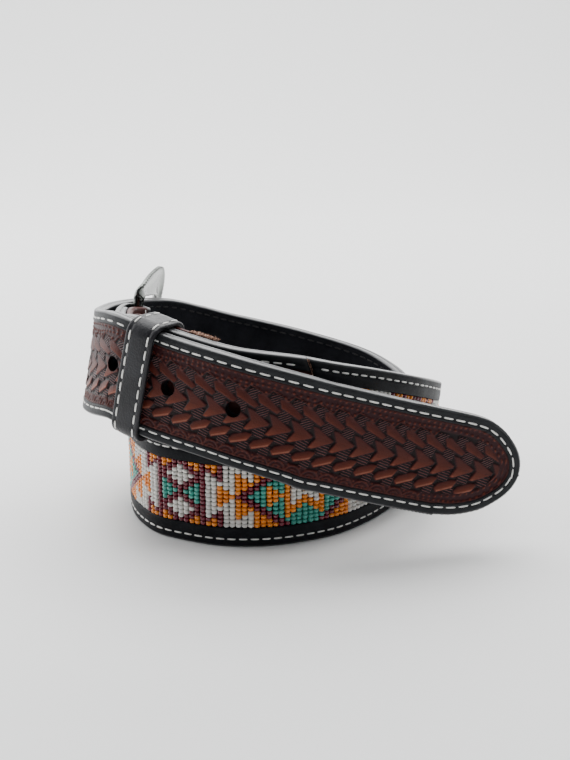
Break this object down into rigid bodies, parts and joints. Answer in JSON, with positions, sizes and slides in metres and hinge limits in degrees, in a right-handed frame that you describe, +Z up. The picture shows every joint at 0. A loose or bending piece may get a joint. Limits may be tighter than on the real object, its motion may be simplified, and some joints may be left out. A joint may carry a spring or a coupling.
{
  "type": "buckled leather belt",
  "caption": "Leather strap belt with a woven bead panel, a tooled tip end, a loop keeper and a frame buckle, buckled shut and coiled on edge.",
  "frame": {"origin": "on the surface under the coil, at the middle of its bounding box", "axes": "+Z up across the strap, -Y towards the front with the tip, +X towards the tip's end of the coil"},
  "size_m": [0.1593, 0.1379, 0.0849],
  "materials": {
    "backing_leather": "matte black backing leather, slightly speckled",
    "black_leather": "satin black leather with burnished edges",
    "brown_leather": "waxed red-brown tooled leather",
    "beadwork": "opaque glossy glass seed beads",
    "silver": "polished silver-coloured metal"
  },
  "bodies": {
    "root": {"liner_first_turn": "backing_leather", "liner_second_turn": "backing_leather", "liner_billet": "backing_leather", "body_overlay": "black_leather", "beaded_band": "beadwork", "billet_overlay": "brown_leather", "buckle_tab": "brown_leather", "keeper": "black_leather", "buckle_frame": "silver", "buckle_prong": "silver"}
  },
  "joints": []
}
